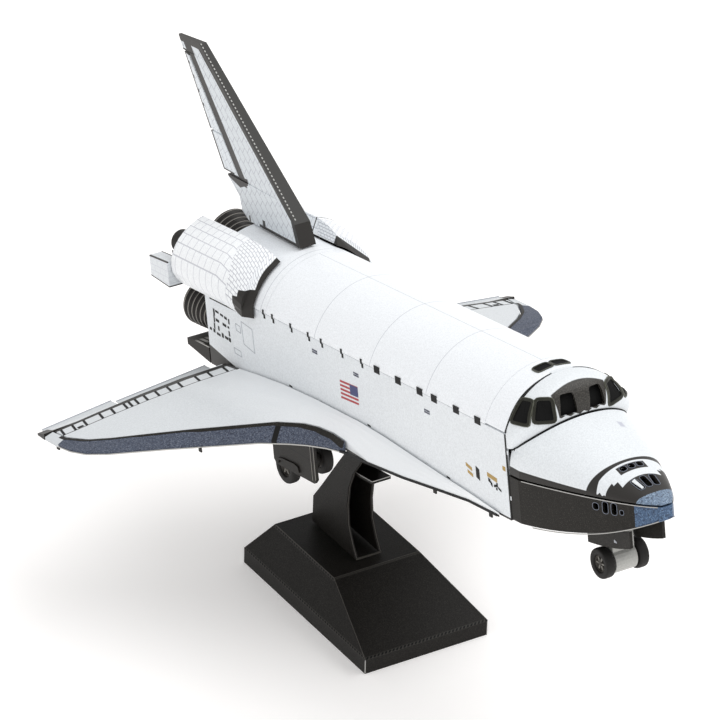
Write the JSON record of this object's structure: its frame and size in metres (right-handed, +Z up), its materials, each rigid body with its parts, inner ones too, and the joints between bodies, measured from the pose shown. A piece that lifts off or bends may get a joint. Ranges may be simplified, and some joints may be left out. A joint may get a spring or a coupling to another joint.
{
  "type": "space shuttle display model",
  "caption": "Folded sheet-metal scale model of a winged space shuttle orbiter, gear down, nose up on a black folded stand with a swan neck.",
  "frame": {"origin": "middle of the whole model's footprint box, on the surface that the stand stands on", "axes": "+X towards the nose, +Y towards the port wing, +Z up; the orbiter is pitched 11.9 degrees nose-up about Y on its stand"},
  "size_m": [0.1264, 0.079, 0.0681],
  "materials": {
    "white_sheet": "satin white print on thin steel sheet",
    "black_sheet": "satin warm black print, fine grain",
    "slate_sheet": "speckled slate blue print",
    "bare_sheet": "bare satin steel sheet",
    "stand_sheet": "satin black paint on folded steel sheet"
  },
  "bodies": {
    "root": {"fuselage_sides_and_belly": "white_sheet", "payload_bay_door_port": "white_sheet", "payload_bay_door_starboard": "white_sheet", "aft_fuselage_top": "white_sheet", "forward_fuselage_top": "white_sheet", "crew_cabin": "white_sheet", "nose_upper_shell": "white_sheet", "wing_port": "white_sheet", "wing_starboard": "white_sheet", "elevon_inboard_port": "white_sheet", "elevon_outboard_port": "white_sheet", "elevon_inboard_starboard": "white_sheet", "elevon_outboard_starboard": "white_sheet", "fin": "white_sheet", "rudder_lower": "white_sheet", "rudder_upper": "white_sheet", "engine_pod_port": "white_sheet", "engine_pod_starboard": "white_sheet", "jet_box_port": "white_sheet", "jet_box_starboard": "white_sheet", "tail_bulkhead": "black_sheet", "nose_lower_shell": "black_sheet", "main_engine_upper": "black_sheet", "main_engine_lower_port": "black_sheet", "main_engine_lower_starboard": "black_sheet", "orbital_engine_port": "black_sheet", "orbital_engine_starboard": "black_sheet", "body_flap": "black_sheet", "main_gear_leg_port": "black_sheet", "main_gear_leg_starboard": "black_sheet", "main_gear_door_port": "black_sheet", "main_gear_door_starboard": "black_sheet", "nose_gear_door_port": "black_sheet", "nose_gear_door_starboard": "black_sheet", "wing_leading_edge_port": "slate_sheet", "wing_leading_edge_starboard": "slate_sheet", "nose_gear_leg": "bare_sheet", "stand_base": "stand_sheet", "stand_neck": "stand_sheet", "stand_rest_plate": "stand_sheet"},
    "nose_wheel_pair": {"nose_wheels": "black_sheet"},
    "main_wheel_pair_port": {"main_wheels_port": "black_sheet"},
    "main_wheel_pair_starboard": {"main_wheels_starboard": "black_sheet"}
  },
  "joints": [
    {"name": "nose_wheels_spin", "type": "hinge", "parent": "root", "child": "nose_wheel_pair", "pos_m": [0.05298, 0, 0.04185], "axis": [0, 1, 0], "continuous": true},
    {"name": "main_wheels_port_spin", "type": "hinge", "parent": "root", "child": "main_wheel_pair_port", "pos_m": [-0.01077, 0.0097, 0.0253], "axis": [0, 1, 0], "continuous": true},
    {"name": "main_wheels_starboard_spin", "type": "hinge", "parent": "root", "child": "main_wheel_pair_starboard", "pos_m": [-0.01077, -0.0097, 0.0253], "axis": [0, 1, 0], "continuous": true}
  ]
}
